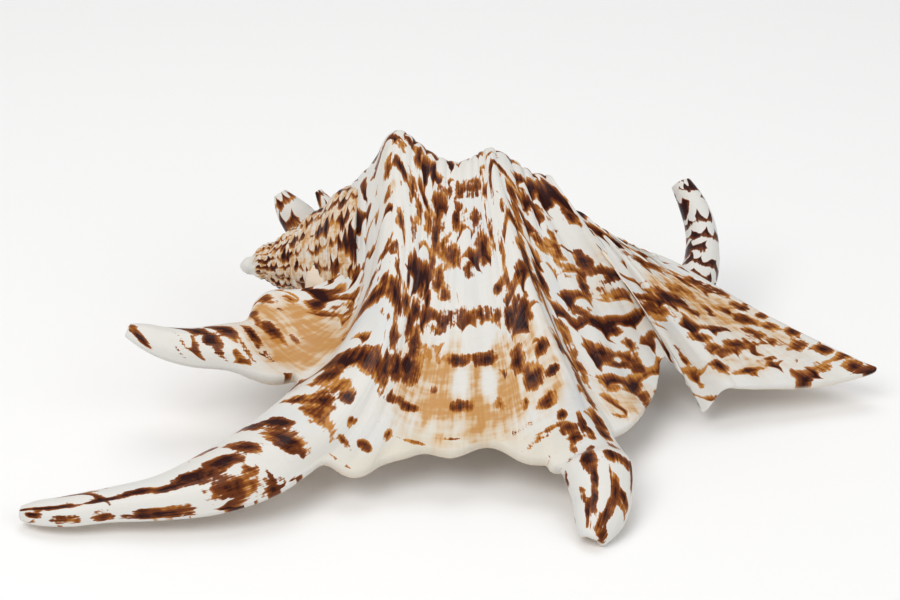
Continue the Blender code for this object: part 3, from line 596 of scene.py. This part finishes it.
def palm_grid(ribs):
    """The points of the back and the lip, their wall, and how far they are eased at two finger roots."""
    grow = np.concatenate([np.linspace(-1, 0, BACK_ROWS + 1)[:-1], np.linspace(0, 1, FRONT_ROWS + 1)])
    ridge = sum(np.exp(-(((ribs - rib) / RIDGE_WIDTH) ** 2)) for rib in KNOB_RIBS)
    jut = by_rib(SCALLOPS, ribs)
    rows, wall, root = [], [], []
    for t in grow:
        row = palm_row(ribs, t)
        row[:, 2] += KNOB_RIDGE_HEIGHT * ridge * smooth(t, -0.15, 0.1) * (1 - smooth(t, 0.8, 1.0))
        for rib, growth_at, wide, long, height in LUMPS:
            row[:, 2] += height * np.exp(-(((ribs - rib) / wide) ** 2) - ((t - growth_at) / long) ** 2)
        row[:, 1] -= jut * smooth(t, 0.93, 1.0)
        rows.append(row)
        wall.append(palm_thickness(ribs, t))
        rear_root = (1 - smooth(ribs, 1.8, 2.8)) * smooth(t, 0.5, 0.75)
        front_root = smooth(ribs, 12.4, 13.2) * (1 - smooth(ribs, 15.8, 16.6)) * smooth(t, 0.82, 0.95)
        root.append(rear_root + front_root)
    return np.array(rows), wall, root


def row_numbers(ribs, grid):
    """The number of the row of marks at each point of the grid, and its distance from the crest."""
    step = np.linalg.norm(np.diff(grid, axis=0), axis=2)
    reach = np.vstack([np.zeros(len(ribs)), np.cumsum(step, axis=0)])
    reach -= reach[BACK_ROWS]
    rise = sum(np.exp(-(((ribs - rib) / wide) ** 2)) for rib, wide in ROW_CLIMBS)
    climb = ROW_CLIMB_HEIGHT * rise * smooth(reach, -4, 8) * (1 - 0.6 * smooth(reach, 30, 70))
    return FIRST_ROW + reach / ROW_PITCH + climb, reach


def open_edges(ends, count):
    """The edges, each named by its two points, that only one face has."""
    key = ends.min(axis=1) * count + ends.max(axis=1)
    _, where, times = np.unique(key, return_inverse=True, return_counts=True)
    return ends[times[where.reshape(-1)] == 1]


def lip_skin():
    """The back of the shell, the flared lip and its three fingers, as a sheet and the way to its lining."""
    ribs = rib_numbers()
    grid, wall, root = palm_grid(ribs)
    row_number, reach = row_numbers(ribs, grid)
    index = np.arange(grid.shape[0] * len(ribs)).reshape(grid.shape[0], len(ribs))
    faces = [quads(index)]
    count = index.size
    growth = [np.stack([np.broadcast_to(ribs, row_number.shape), row_number], axis=-1).reshape(-1, 2)]
    finger = [np.zeros(count)]
    lip_gap = [(reach[-1] - reach).reshape(-1)]
    points = [grid.reshape(-1, 3)]
    for name, (first, last, *_) in FINGERS.items():
        span = np.flatnonzero((ribs > first - 1e-6) & (ribs < last + 1e-6))
        finger_grid, widths, at = finger_rows(name, ribs[span], FINGER_STEPS[name])
        block = count + np.arange(len(finger_grid) * len(span)).reshape(len(finger_grid), len(span))
        count += block.size
        points += finger_grid
        for width in widths:
            wall.append(np.full(len(span), min(FINGER_THICKNESS, 0.55 * width + 0.3)))
        # The root of the long finger is smooth as laid out, and those of the others are eased.
        fade = (name != "long") * (1 - smooth(np.arange(len(finger_grid)) / len(finger_grid), 0.1, 0.4))
        root.append(np.repeat(fade, len(span)))
        for gap in at:
            growth.append(np.stack([ribs[span], row_number[-1, span] + gap / FINGER_PITCH], axis=-1))
            finger.append(np.full(len(span), min(1.0, gap / FINGER_ROOT)))
            lip_gap.append(-np.full(len(span), gap))
        faces.append(quads(np.vstack([index[-1, span], block])))
    points = np.concatenate(points)
    wall = np.concatenate(wall)
    faces = np.concatenate(faces)
    growth = np.concatenate(growth)
    finger = np.concatenate(finger)
    lip_gap = np.concatenate(lip_gap)
    ends = np.concatenate([faces[:, [k, (k + 1) % 4]] for k in range(4)])
    rim = open_edges(ends, count)
    held = np.zeros(count, bool)
    held[rim] = True
    eased = points
    for _ in range(ROOT_ROUNDS):
        eased = np.where(held[:, None], points, relaxed(eased, ends))
    points = points + (eased - points) * np.concatenate(root)[:, None]
    for _ in range(SOFTEN_ROUNDS):
        points = relaxed(points, ends)
    facing = normals(points, faces)
    inward = -facing * wall[:, None]
    for _ in range(RELAX_ROUNDS):
        inward = relaxed(inward, ends)
    points = points + facing * (rib_relief(growth[:, 0], growth[:, 1]) * (1 - 0.7 * finger))[:, None]
    return points, faces, rim, facing, inward, growth, finger, lip_gap


def closed_skin():
    """The sheet with its rounded rim and its lining, and what its material reads at each point."""
    points, faces, rim, facing, inward, growth, finger, lip_gap = lip_skin()
    count = len(points)
    loop = np.unique(rim)
    slot_of = np.full(count, -1)
    slot_of[loop] = np.arange(len(loop))
    away = np.zeros((len(loop), 3))
    side = np.cross(points[rim[:, 1]] - points[rim[:, 0]], facing[rim[:, 0]])
    for k in range(2):
        scatter(away, slot_of[rim[:, k]], side)
    rim_slots = slot_of[rim]
    for _ in range(RIM_ROUNDS):
        away = relaxed(away, rim_slots)
    away /= np.maximum(np.linalg.norm(away, axis=1), 1e-9)[:, None]
    thick = np.linalg.norm(inward[loop], axis=1)
    skins = [points, points + inward]
    for angle in np.linspace(0, math.pi, RIM_STEPS + 2)[1:-1]:
        skins.append(
            points[loop]
            + inward[loop] * (1 - math.cos(angle)) / 2
            + away * (RIM_BULGE * thick * math.sin(angle))[:, None]
        )
    levels = [rim]
    for k in range(RIM_STEPS):
        levels.append(2 * count + k * len(loop) + rim_slots)
    levels.append(rim + count)
    all_faces = [faces, faces[:, ::-1] + count]
    for upper, lower in zip(levels, levels[1:]):
        all_faces.append(np.stack([upper[:, 1], upper[:, 0], lower[:, 0], lower[:, 1]], axis=1))
    inside = [np.zeros(count), np.ones(count)]
    inside += [np.full(len(loop), (k + 1) / (RIM_STEPS + 1)) for k in range(RIM_STEPS)]
    source = np.concatenate([np.arange(count), np.arange(count)] + [loop] * RIM_STEPS)
    return (
        np.concatenate(skins),
        np.concatenate(all_faces),
        growth[source],
        np.concatenate(inside),
        finger[source],
        lip_gap[source],
    )


def tube(stations, across, steps, around, pitch, ribs_around, floor=None):
    """A closed tube through stations of centre, half width and half height."""
    centre = np.array([station[0] for station in stations], float)
    length = np.concatenate([[0], np.cumsum(np.linalg.norm(np.diff(centre, axis=0), axis=1))])
    at = np.linspace(0, length[-1], steps)
    centre = spline(length, centre, at)
    width = spline(length, [station[1] for station in stations], at)
    height = spline(length, [station[2] for station in stations], at)
    along = np.gradient(centre, axis=0)
    along /= np.linalg.norm(along, axis=1)[:, None]
    across = np.array(across, float)
    side = across - along * (along @ across)[:, None]
    side /= np.linalg.norm(side, axis=1)[:, None]
    up = np.cross(side, along)
    angle = np.linspace(0, 2 * math.pi, around, endpoint=False)
    ring = np.cos(angle)[None, :, None] * (side * width)[:, None, :]
    ring = ring + np.sin(angle)[None, :, None] * (up * height)[:, None, :]
    rib = ribs_around * np.abs(angle / math.pi - 1)
    growth = np.stack(np.broadcast_arrays(rib[None, :], at[:, None] / pitch), axis=-1)
    return close_rings(centre[:, None, :] + ring, growth, floor)


def close_rings(rings, growth, floor=None):
    """Joins rings of points into a closed skin with a point at the middle of each end."""
    rows, around, _ = rings.shape
    points = np.concatenate([rings.reshape(-1, 3), [rings[0].mean(axis=0), rings[-1].mean(axis=0)]])
    growth = np.concatenate([growth.reshape(-1, 2), [growth[0, 0], growth[-1, 0]]])
    if floor is not None:
        points[:, 2] = np.maximum(points[:, 2], floor)
    index = np.arange(rows * around).reshape(rows, around)
    index = np.hstack([index, index[:, :1]])
    faces = [tuple(face) for face in quads(index)]
    first, last = rows * around, rows * around + 1
    faces += [(first, index[0, k], index[0, k + 1]) for k in range(around)]
    faces += [(last, index[-1, k + 1], index[-1, k]) for k in range(around)]
    return points, faces, growth


def spire_skin():
    """The whorls before the last, wound round the axis with a groove where they meet."""
    apex = np.array(SPIRE_APEX)
    along = np.array(SPIRE_FOOT) - apex
    length = np.linalg.norm(along)
    along /= length
    side = np.cross(along, (0, 0, 1.0))
    side /= np.linalg.norm(side)
    up = np.cross(side, along)
    at = np.concatenate([[0.0, 0.4, 0.9], np.linspace(1.6, length, SPIRE_RINGS)])
    reach = spline([row[0] for row in SPIRE_REACH], [row[1] for row in SPIRE_REACH], at)
    angle = np.linspace(0, 2 * math.pi, SPIRE_POINTS_AROUND, endpoint=False)
    turn = at[:, None] / SPIRE_WHORL_PITCH - angle[None, :] / (2 * math.pi)
    whorl = np.abs(np.sin(math.pi * turn)) ** 0.6
    lump = SPIRE_LUMP_HEIGHT * np.sin(SPIRE_LUMPS_PER_TURN * angle)[None, :] * whorl**3
    cords = SPIRE_CORD_HEIGHT * np.sin(2 * math.pi * SPIRE_CORDS_PER_WHORL * turn)
    reach = reach + (SPIRE_WHORL_BULGE * (whorl - 0.55) + lump + cords) * smooth(at, 2, 6)[:, None]
    rings = apex + at[:, None, None] * along
    rings = rings + (np.cos(angle) * reach)[:, :, None] * side + (np.sin(angle) * reach)[:, :, None] * up
    row = (angle * SPIRE_ROWS_PER_TURN / (2 * math.pi))[None, :]
    growth = np.stack(np.broadcast_arrays(turn * SPIRE_RIBS_PER_WHORL, row), axis=-1)
    return close_rings(rings, growth)


def painted(growth):
    """How deep inside the nearest of the marks each point is, below zero outside them all."""
    depth = np.full(len(growth), -1.0)
    for rib, row, wide, high, tone in MARKS:
        aside = np.abs((growth[:, 0] - rib) / wide / MARK_SWELL)
        along = np.abs((growth[:, 1] - row) / high / MARK_SWELL)
        inside = 1 - (aside**MARK_SQUARENESS + along**MARK_SQUARENESS) ** (1 / MARK_SQUARENESS)
        depth = np.maximum(depth, np.where(inside > 0, tone, 0.5) * inside)
    return depth


def blots(growth, table):
    """The sum of soft round patches on the grid of ribs and rows."""
    total = np.zeros(len(growth))
    for rib, row, wide, high, strength in table:
        gap = ((growth[:, 0] - rib) / wide) ** 2 + ((growth[:, 1] - row) / high) ** 2
        total += strength * np.exp(-(gap**1.5))
    return total


def fitted(pieces):
    """The points of all pieces moved from the layout, in millimetres, into the box of the part, in metres."""
    low = np.min([points.min(axis=0) for points in pieces], axis=0)
    high = np.max([points.max(axis=0) for points in pieces], axis=0)
    box_low, box_high = np.array(CAD_LOW) + BOX_MARGIN, np.array(CAD_HIGH) - BOX_MARGIN
    return [box_low + (points - low) / (high - low) * (box_high - box_low) for points in pieces]


def make_piece(name, points, faces, values, material):
    """A piece of the shell with the values that its material reads."""
    mesh = bpy.data.meshes.new(name)
    mesh.from_pydata(points.tolist(), [], [tuple(int(v) for v in face) for face in faces])
    mesh.polygons.foreach_set("use_smooth", np.ones(len(mesh.polygons), bool))
    for key, value in values.items():
        value = np.asarray(value, np.float32)
        if value.ndim == 2:
            data = np.zeros((len(value), 3), np.float32)
            data[:, : value.shape[1]] = value
            mesh.attributes.new(key, "FLOAT_VECTOR", "POINT").data.foreach_set("vector", data.ravel())
        else:
            mesh.attributes.new(key, "FLOAT", "POINT").data.foreach_set("value", value)
    mesh.materials.append(material)
    mesh.update()
    piece = bpy.data.objects.new(name, mesh)
    bpy.context.scene.collection.objects.link(piece)
    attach(piece, "root")
    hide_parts("shell")
    return piece


class Graph:
    """Builds a material's nodes from short calls."""

    def __init__(self, material):
        material.use_nodes = True
        self.tree = material.node_tree
        self.shader = self.tree.nodes["Principled BSDF"]

    def put(self, socket, value):
        if hasattr(value, "is_output"):
            self.tree.links.new(value, socket)
        else:
            socket.default_value = value

    def read(self, name, output="Fac"):
        node = self.tree.nodes.new("ShaderNodeAttribute")
        node.attribute_name = name
        return node.outputs[output]

    def maths(self, operation, *values):
        node = self.tree.nodes.new("ShaderNodeMath")
        node.operation = operation
        for socket, value in zip(node.inputs, values):
            self.put(socket, value)
        return node.outputs[0]

    def add(self, *values):
        total = values[0]
        for value in values[1:]:
            total = self.maths("ADD", total, value)
        return total

    def times(self, a, b):
        return self.maths("MULTIPLY", a, b)

    def step(self, value, low, high, start=0.0, end=1.0):
        """A soft step from start to end while the value goes from low to high."""
        node = self.tree.nodes.new("ShaderNodeMapRange")
        node.interpolation_type = "SMOOTHSTEP"
        for socket, number in zip(node.inputs, (value, low, high, start, end)):
            self.put(socket, number)
        return node.outputs[0]

    def noise(self, vector, stretch, detail=2.0, offset=(0.0, 0.0, 0.0)):
        """Noise about zero, from -1 to 1, over the vector stretched by three factors."""
        move = self.tree.nodes.new("ShaderNodeVectorMath")
        move.operation = "MULTIPLY_ADD"
        self.put(move.inputs[0], vector)
        move.inputs[1].default_value = stretch
        move.inputs[2].default_value = offset
        node = self.tree.nodes.new("ShaderNodeTexNoise")
        node.inputs["Scale"].default_value = 1.0
        node.inputs["Detail"].default_value = detail
        self.put(node.inputs["Vector"], move.outputs[0])
        return self.maths("MULTIPLY_ADD", node.outputs[0], 2.0, -1.0)

    def joined(self, x, y, z=0.0):
        node = self.tree.nodes.new("ShaderNodeCombineXYZ")
        for socket, value in zip(node.inputs, (x, y, z)):
            self.put(socket, value)
        return node.outputs[0]

    def parts(self, vector):
        node = self.tree.nodes.new("ShaderNodeSeparateXYZ")
        self.put(node.inputs[0], vector)
        return node.outputs[0], node.outputs[1]

    def mixed(self, factor, a, b):
        """Two colours mixed. The node has more sockets of these names, so they go by number."""
        node = self.tree.nodes.new("ShaderNodeMix")
        node.data_type = "RGBA"
        self.put(node.inputs["Factor"], factor)
        for socket, value in zip((node.inputs[6], node.inputs[7]), (a, b)):
            self.put(socket, value if hasattr(value, "is_output") else (*value, 1.0))
        return node.outputs[2]

    def white(self, vector):
        """A number from -1 to 1 that is different for each vector."""
        node = self.tree.nodes.new("ShaderNodeTexWhiteNoise")
        self.put(node.inputs["Vector"], vector)
        return self.maths("MULTIPLY_ADD", node.outputs[0], 2.0, -1.0)


def mark_depth(g, place, number, size, arched, streaks):
    """How deep a place is inside the mark of one row: above zero inside, and quicker from its lower edge."""
    rib, row = place
    where = g.joined(rib, number)
    slow = g.noise(where, (0.42, 3.7, 1.0), 1.0, (0.0, 0.3, 4.0))
    quick = g.noise(where, (1.15, 5.3, 1.0), 1.0, (4.0, 0.9, 1.0))
    luck = g.white(g.joined(g.maths("FLOOR", rib), number, 3.0))
    half_rib = g.maths("FLOOR", g.times(rib, 2.0))
    block = g.white(g.joined(half_rib, number, 8.0))
    reach = g.add(size, g.times(slow, 0.85), g.times(quick, 0.55), g.times(luck, 0.10))
    gap = g.maths("SUBTRACT", row, number)
    above = g.add(gap, g.times(reach, 0.95), g.times(block, 0.09), g.times(streaks, 0.16))
    below = g.add(g.times(reach, 0.75), g.times(arched, 1.0), g.times(streaks, 0.05))
    below = g.maths("SUBTRACT", below, gap)
    return g.maths("MINIMUM", g.times(above, 0.75), g.times(below, 1.5))


def shell_material(name):
    """White ground under broken rows of brown marks, with scalloped lower edges and streaky upper ones."""
    material = bpy.data.materials.new(name)
    g = Graph(material)
    growth = g.read("growth", "Vector")
    rib, row = g.parts(growth)
    long_streaks = g.noise(growth, (7.0, 0.9, 1.0), 2.0)
    fine_streaks = g.noise(growth, (24.0, 1.4, 1.0), 2.0, (5.0, 2.0, 0.0))
    streaks = g.add(g.times(long_streaks, 0.6), g.times(fine_streaks, 0.6))
    wander = g.noise(growth, (0.55, 0.5, 1.0), 1.0, (3.0, 7.0, 0.0))
    sway = g.noise(growth, (0.6, 0.8, 1.0), 2.0, (13.0, 1.0, 0.0))
    swayed = g.add(rib, g.times(sway, 0.9))
    centred = g.maths("MULTIPLY_ADD", g.maths("FRACT", swayed), 2.0, -1.0)
    hump = g.maths("SUBTRACT", 1.0, g.times(centred, centred))
    groove = g.maths("SUBTRACT", 0.45, hump)
    arched = g.times(groove, ARCH_HEIGHT)
    moved = g.add(row, g.times(wander, ROW_WARP))
    own_size = g.add(MARK_SIZE, g.read("spread"))
    above = g.maths("FLOOR", moved)
    below = g.add(above, 1.0)
    place = (swayed, moved)
    depth = g.maths(
        "MAXIMUM",
        mark_depth(g, place, above, own_size, arched, streaks),
        mark_depth(g, place, below, own_size, arched, streaks),
    )
    ragged = g.noise(growth, (3.0, 3.5, 1.0), 2.0, (1.0, 9.0, 5.0))
    stroke = g.add(g.read("mark"), g.times(arched, 0.17), g.times(streaks, 0.16), g.times(ragged, 0.24))
    depth = g.maths("MAXIMUM", depth, stroke)
    tone = g.noise(growth, (0.5, 1.0, 1.0), 2.0, (9.0, 0.7, 1.0))
    shade = g.add(depth, g.times(long_streaks, 0.07), g.times(fine_streaks, 0.07))
    shade = g.add(shade, g.times(tone, 0.22), g.read("dark"))
    edge = g.step(depth, -0.015, 0.035)
    tawny = g.times(g.step(shade, 0.01, 0.10), edge)
    brown = g.times(g.step(shade, 0.08, 0.18), edge)
    dark = g.times(g.step(shade, 0.20, 0.34), edge)

    cloud = g.noise(growth, (0.4, 0.3, 1.0), 3.0, (2.0, 4.0, 6.0))
    ground = g.mixed(g.step(cloud, 0.0, 0.7), WHITE, BLUISH)
    ground = g.mixed(g.step(cloud, -0.15, -0.7, 0.0, 0.8), ground, CREAM)
    lines = g.noise(growth, (1.0, 5.0, 1.0), 2.0, (1.0, 0.0, 2.0))
    patches = g.noise(growth, (1.6, 0.9, 1.0), 2.0, (6.0, 3.0, 2.0))
    rust = g.add(
        g.read("amber"), g.times(lines, 0.5), g.times(long_streaks, 0.4), g.times(patches, 1.2), -0.28
    )
    rust = g.times(g.step(rust, -0.35, 0.95), g.step(g.read("amber"), 0.02, 0.5))
    deep_rust = g.times(g.step(g.add(rust, g.times(long_streaks, 0.4), g.times(lines, 0.4)), 0.55, 1.1), rust)
    ground = g.mixed(g.read("cream"), ground, CREAM)
    ground = g.mixed(g.times(rust, 0.9), ground, GOLD)
    ground = g.mixed(g.times(deep_rust, 0.7), ground, AMBER)

    colour = g.mixed(edge, ground, AMBER)
    colour = g.mixed(tawny, colour, TAWNY)
    colour = g.mixed(brown, colour, BROWN)
    colour = g.mixed(dark, colour, DARK)
    bare = g.add(g.read("inside"), g.times(fine_streaks, 0.10))
    colour = g.mixed(g.step(bare, 0.15, 0.6), colour, LINING)
    g.put(g.shader.inputs["Base Color"], colour)
    g.put(g.shader.inputs["Roughness"], g.add(0.30, g.times(cloud, 0.06), g.times(brown, -0.03)))
    g.shader.inputs["Specular IOR Level"].default_value = 0.12
    g.shader.inputs["Coat Weight"].default_value = 0.03
    g.shader.inputs["Coat Roughness"].default_value = 0.15
    g.shader.inputs["IOR"].default_value = 1.45
    fine = g.noise(growth, (7.0, 0.6, 1.0), 2.0, (8.0, 3.0, 1.0))
    growth_lines = g.noise(growth, (0.8, 7.0, 1.0), 3.0, (3.0, 8.0, 2.0))
    bump = g.tree.nodes.new("ShaderNodeBump")
    bump.inputs["Strength"].default_value = 0.35
    bump.inputs["Distance"].default_value = 0.00035
    g.put(bump.inputs["Height"], g.add(g.times(fine, 0.5), g.times(growth_lines, 0.5)))
    g.put(g.shader.inputs["Normal"], bump.outputs[0])
    return material


def add_light(name, place, target, size, power, colour=(1, 1, 1)):
    data = bpy.data.lights.new(name, "AREA")
    data.shape = "DISK"
    data.size = size
    data.energy = power
    data.color = colour
    light = bpy.data.objects.new(name, data)
    bpy.context.scene.collection.objects.link(light)
    light.location = place
    aim(light, target)
    return light


def aim(obj, target):
    way = np.array(target, float) - np.array(obj.location, float)
    flat = math.hypot(way[0], way[1])
    obj.rotation_euler = (math.atan2(flat, -way[2]), 0.0, math.atan2(way[1], way[0]) - math.pi / 2)


def skin_piece():
    """The skin of the lip and the body, with its own values for the material."""
    points, faces, growth, inside, finger, lip_gap = closed_skin()
    cream = 1 - smooth(lip_gap, *CREAM_EDGE)
    cream = cream * (1 - finger) * np.exp(-(((growth[:, 0] - CREAM_RIB) / CREAM_HALF_WIDTH) ** 4))
    values = {
        "inside": inside,
        "spread": blots(growth, SPREAD) - CREAM_QUIET * cream,
        "dark": FINGER_DEPTH * finger,
        "amber": blots(growth, GOLD_WASH),
        "cream": cream,
        "mark": painted(growth),
    }
    return (points, faces, growth), values


def build_shell():
    material = shell_material("shell marks")
    skin, skin_values = skin_piece()
    core = tube(CORE, (0, 1, 0), steps=90, around=96, pitch=7.0, ribs_around=8, floor=0.4)
    siphon = tube(CANAL, (1, 0, 0), steps=120, around=64, pitch=5.0, ribs_around=4)
    behind = tube(BEHIND, (1, 0, 0), steps=90, around=64, pitch=5.0, ribs_around=4)
    second_tip = tube(SECOND_TIP, (1, 0, 0), steps=60, around=48, pitch=5.0, ribs_around=4)
    made = [
        ("shell_skin", skin, skin_values),
        ("shell_core", core, {"inside": 1.0, "spread": -0.9}),
        ("shell_spire", spire_skin(), {"amber": SPIRE_WASH}),
        ("shell_siphon", siphon, {"dark": SIPHON_DEPTH}),
        ("shell_finger_behind", behind, {}),
        ("shell_second_tip", second_tip, {}),
    ]
    placed = fitted([shape[0] for _, shape, _ in made])
    for (name, (_, faces, growth), own), points in zip(made, placed):
        values = {key: np.zeros(len(points)) for key in ("inside", "spread", "dark", "amber", "cream")}
        values["mark"] = np.full(len(points), -1.0)
        for key, value in own.items():
            values[key] = np.broadcast_to(value, (len(points),))
        if name == "shell_spire":
            tip = points[-2]
            pale = 1 - smooth(np.linalg.norm(points - tip, axis=1), *SPIRE_PALE_TIP)
            values["spread"] = -pale
            values["amber"] = values["amber"] * (1 - pale)
        values["growth"] = growth
        make_piece(name, points, faces, values, material)


def build_stage():
    floor_mesh = bpy.data.meshes.new("floor")
    half = FLOOR_HALF_WIDTH
    corners = [(-half, -half, 0), (half, -half, 0), (half, half, 0), (-half, half, 0)]
    floor_mesh.from_pydata(corners, [], [(0, 1, 2, 3)])
    floor = bpy.data.objects.new("floor", floor_mesh)
    bpy.context.scene.collection.objects.link(floor)
    paint = bpy.data.materials.new("pale floor")
    paint.use_nodes = True
    shader = paint.node_tree.nodes["Principled BSDF"]
    shader.inputs["Base Color"].default_value = (0.93, 0.93, 0.93, 1)
    shader.inputs["Roughness"].default_value = 0.9
    shader.inputs["Specular IOR Level"].default_value = 0.1
    floor_mesh.materials.append(paint)

    world = bpy.data.worlds.new("studio")
    bpy.context.scene.world = world
    world.use_nodes = True
    sky = world.node_tree.nodes["Background"]
    sky.inputs["Color"].default_value = (1.0, 1.0, 1.0, 1)
    sky.inputs["Strength"].default_value = 0.50

    centre = (0, 0, 0.03)
    add_light("key", (-0.35, -0.45, 0.75), centre, 0.6, 3.6, (1.0, 0.985, 0.96))
    add_light("fill", (0.55, -0.45, 0.5), centre, 0.6, 1.2, (0.96, 0.98, 1.0))
    add_light("top", (0.0, 0.25, 0.8), centre, 0.5, 1.4)

    data = bpy.data.cameras.new("camera")
    data.lens = CAMERA_LENS
    data.sensor_width = 36.0
    data.clip_start = 0.01
    data.clip_end = 20.0
    camera = bpy.data.objects.new("camera", data)
    bpy.context.scene.collection.objects.link(camera)
    camera.location = CAMERA_PLACE
    camera.rotation_euler = (math.radians(90.0 - CAMERA_DOWN), 0.0, 0.0)
    bpy.context.scene.camera = camera
    bpy.context.scene.view_settings.view_transform = "Standard"


build_shell()
build_stage()
